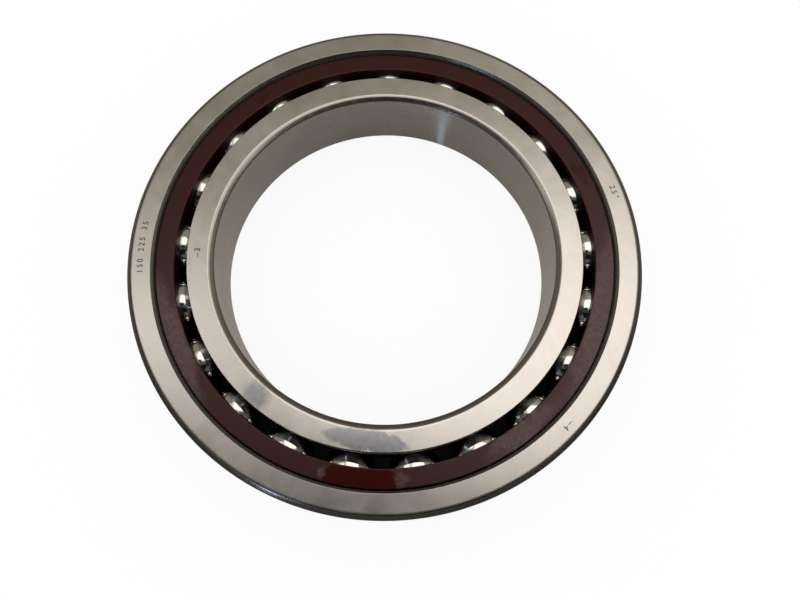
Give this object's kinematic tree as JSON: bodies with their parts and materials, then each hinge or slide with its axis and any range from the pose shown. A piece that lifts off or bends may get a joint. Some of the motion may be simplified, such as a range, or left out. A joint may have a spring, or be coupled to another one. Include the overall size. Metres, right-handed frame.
{
  "type": "angular contact bearing",
  "caption": "Single row angular contact ball bearing: counterbored outer ring, inner ring, machined cage and a ring of balls that roll as it turns.",
  "frame": {"origin": "on the bearing's axis at its front face, the face it lies on, which is the middle of the bottom of its box", "axes": "+Z along the axis, from the front face to the back face, which is the outer ring's thrust face; +X and +Y along two diameters"},
  "size_m": [0.225, 0.225, 0.035],
  "materials": {
    "ring_steel": "hardened bearing steel, faces satin ground, bore and outside surface finely ground, raceways honed",
    "ball_steel": "hardened bearing steel, lapped and mirror polished",
    "cage_laminate": "dark red-brown fabric-reinforced phenolic, machined, wet with preserving oil"
  },
  "bodies": {
    "outer_ring": {"outer_ring": "ring_steel"},
    "inner_ring": {"inner_ring": "ring_steel"},
    "cage": {"cage": "cage_laminate"},
    "ball_01": {"ball_01": "ball_steel"},
    "ball_02": {"ball_02": "ball_steel"},
    "ball_03": {"ball_03": "ball_steel"},
    "ball_04": {"ball_04": "ball_steel"},
    "ball_05": {"ball_05": "ball_steel"},
    "ball_06": {"ball_06": "ball_steel"},
    "ball_07": {"ball_07": "ball_steel"},
    "ball_08": {"ball_08": "ball_steel"},
    "ball_09": {"ball_09": "ball_steel"},
    "ball_10": {"ball_10": "ball_steel"},
    "ball_11": {"ball_11": "ball_steel"},
    "ball_12": {"ball_12": "ball_steel"},
    "ball_13": {"ball_13": "ball_steel"},
    "ball_14": {"ball_14": "ball_steel"},
    "ball_15": {"ball_15": "ball_steel"},
    "ball_16": {"ball_16": "ball_steel"},
    "ball_17": {"ball_17": "ball_steel"},
    "ball_18": {"ball_18": "ball_steel"},
    "ball_19": {"ball_19": "ball_steel"},
    "ball_20": {"ball_20": "ball_steel"},
    "ball_21": {"ball_21": "ball_steel"}
  },
  "joints": [
    {"name": "inner_spin", "type": "hinge", "parent": "outer_ring", "child": "inner_ring", "pos_m": [0, 0, 0.0175], "axis": [0, 0, 1], "continuous": true},
    {"name": "cage_spin", "type": "hinge", "parent": "outer_ring", "child": "cage", "pos_m": [0, 0, 0.0175], "axis": [0, 0, 1], "continuous": true},
    {"name": "ball_01_spin", "type": "hinge", "parent": "cage", "child": "ball_01", "pos_m": [-0.00098, 0.09374, 0.0175], "axis": [0.0044, -0.4226, 0.9063], "continuous": true},
    {"name": "ball_02_spin", "type": "hinge", "parent": "cage", "child": "ball_02", "pos_m": [-0.02857, 0.08929, 0.0175], "axis": [0.1288, -0.4025, 0.9063], "continuous": true},
    {"name": "ball_03_spin", "type": "hinge", "parent": "cage", "child": "ball_03", "pos_m": [-0.05362, 0.0769, 0.0175], "axis": [0.2417, -0.3467, 0.9063], "continuous": true},
    {"name": "ball_04_spin", "type": "hinge", "parent": "cage", "child": "ball_04", "pos_m": [-0.0739, 0.05768, 0.0175], "axis": [0.3332, -0.26, 0.9063], "continuous": true},
    {"name": "ball_05_spin", "type": "hinge", "parent": "cage", "child": "ball_05", "pos_m": [-0.08762, 0.03333, 0.0175], "axis": [0.395, -0.1503, 0.9063], "continuous": true},
    {"name": "ball_06_spin", "type": "hinge", "parent": "cage", "child": "ball_06", "pos_m": [-0.09356, 0.00603, 0.0175], "axis": [0.4217, -0.0272, 0.9063], "continuous": true},
    {"name": "ball_07_spin", "type": "hinge", "parent": "cage", "child": "ball_07", "pos_m": [-0.09118, -0.02182, 0.0175], "axis": [0.411, 0.0984, 0.9063], "continuous": true},
    {"name": "ball_08_spin", "type": "hinge", "parent": "cage", "child": "ball_08", "pos_m": [-0.08069, -0.04772, 0.0175], "axis": [0.3638, 0.2151, 0.9063], "continuous": true},
    {"name": "ball_09_spin", "type": "hinge", "parent": "cage", "child": "ball_09", "pos_m": [-0.06304, -0.06939, 0.0175], "axis": [0.2842, 0.3128, 0.9063], "continuous": true},
    {"name": "ball_10_spin", "type": "hinge", "parent": "cage", "child": "ball_10", "pos_m": [-0.03979, -0.08489, 0.0175], "axis": [0.1794, 0.3827, 0.9063], "continuous": true},
    {"name": "ball_11_spin", "type": "hinge", "parent": "cage", "child": "ball_11", "pos_m": [-0.013, -0.09284, 0.0175], "axis": [0.0586, 0.4185, 0.9063], "continuous": true},
    {"name": "ball_12_spin", "type": "hinge", "parent": "cage", "child": "ball_12", "pos_m": [0.01494, -0.09255, 0.0175], "axis": [-0.0674, 0.4172, 0.9063], "continuous": true},
    {"name": "ball_13_spin", "type": "hinge", "parent": "cage", "child": "ball_13", "pos_m": [0.04156, -0.08404, 0.0175], "axis": [-0.1873, 0.3788, 0.9063], "continuous": true},
    {"name": "ball_14_spin", "type": "hinge", "parent": "cage", "child": "ball_14", "pos_m": [0.06448, -0.06805, 0.0175], "axis": [-0.2907, 0.3068, 0.9063], "continuous": true},
    {"name": "ball_15_spin", "type": "hinge", "parent": "cage", "child": "ball_15", "pos_m": [0.08168, -0.04602, 0.0175], "axis": [-0.3682, 0.2075, 0.9063], "continuous": true},
    {"name": "ball_16_spin", "type": "hinge", "parent": "cage", "child": "ball_16", "pos_m": [0.09161, -0.0199, 0.0175], "axis": [-0.413, 0.0897, 0.9063], "continuous": true},
    {"name": "ball_17_spin", "type": "hinge", "parent": "cage", "child": "ball_17", "pos_m": [0.09341, 0.00798, 0.0175], "axis": [-0.4211, -0.036, 0.9063], "continuous": true},
    {"name": "ball_18_spin", "type": "hinge", "parent": "cage", "child": "ball_18", "pos_m": [0.08691, 0.03516, 0.0175], "axis": [-0.3918, -0.1585, 0.9063], "continuous": true},
    {"name": "ball_19_spin", "type": "hinge", "parent": "cage", "child": "ball_19", "pos_m": [0.07268, 0.05922, 0.0175], "axis": [-0.3276, -0.2669, 0.9063], "continuous": true},
    {"name": "ball_20_spin", "type": "hinge", "parent": "cage", "child": "ball_20", "pos_m": [0.052, 0.07801, 0.0175], "axis": [-0.2344, -0.3517, 0.9063], "continuous": true},
    {"name": "ball_21_spin", "type": "hinge", "parent": "cage", "child": "ball_21", "pos_m": [0.02669, 0.08987, 0.0175], "axis": [-0.1203, -0.4051, 0.9063], "continuous": true}
  ],
  "couplings": [
    {"joint": "cage_spin", "follows": "inner_spin", "ratio": 0.44629},
    {"joint": "ball_01_spin", "follows": "inner_spin", "ratio": -4.1695},
    {"joint": "ball_02_spin", "follows": "inner_spin", "ratio": -4.1695},
    {"joint": "ball_03_spin", "follows": "inner_spin", "ratio": -4.1695},
    {"joint": "ball_04_spin", "follows": "inner_spin", "ratio": -4.1695},
    {"joint": "ball_05_spin", "follows": "inner_spin", "ratio": -4.1695},
    {"joint": "ball_06_spin", "follows": "inner_spin", "ratio": -4.1695},
    {"joint": "ball_07_spin", "follows": "inner_spin", "ratio": -4.1695},
    {"joint": "ball_08_spin", "follows": "inner_spin", "ratio": -4.1695},
    {"joint": "ball_09_spin", "follows": "inner_spin", "ratio": -4.1695},
    {"joint": "ball_10_spin", "follows": "inner_spin", "ratio": -4.1695},
    {"joint": "ball_11_spin", "follows": "inner_spin", "ratio": -4.1695},
    {"joint": "ball_12_spin", "follows": "inner_spin", "ratio": -4.1695},
    {"joint": "ball_13_spin", "follows": "inner_spin", "ratio": -4.1695},
    {"joint": "ball_14_spin", "follows": "inner_spin", "ratio": -4.1695},
    {"joint": "ball_15_spin", "follows": "inner_spin", "ratio": -4.1695},
    {"joint": "ball_16_spin", "follows": "inner_spin", "ratio": -4.1695},
    {"joint": "ball_17_spin", "follows": "inner_spin", "ratio": -4.1695},
    {"joint": "ball_18_spin", "follows": "inner_spin", "ratio": -4.1695},
    {"joint": "ball_19_spin", "follows": "inner_spin", "ratio": -4.1695},
    {"joint": "ball_20_spin", "follows": "inner_spin", "ratio": -4.1695},
    {"joint": "ball_21_spin", "follows": "inner_spin", "ratio": -4.1695}
  ]
}
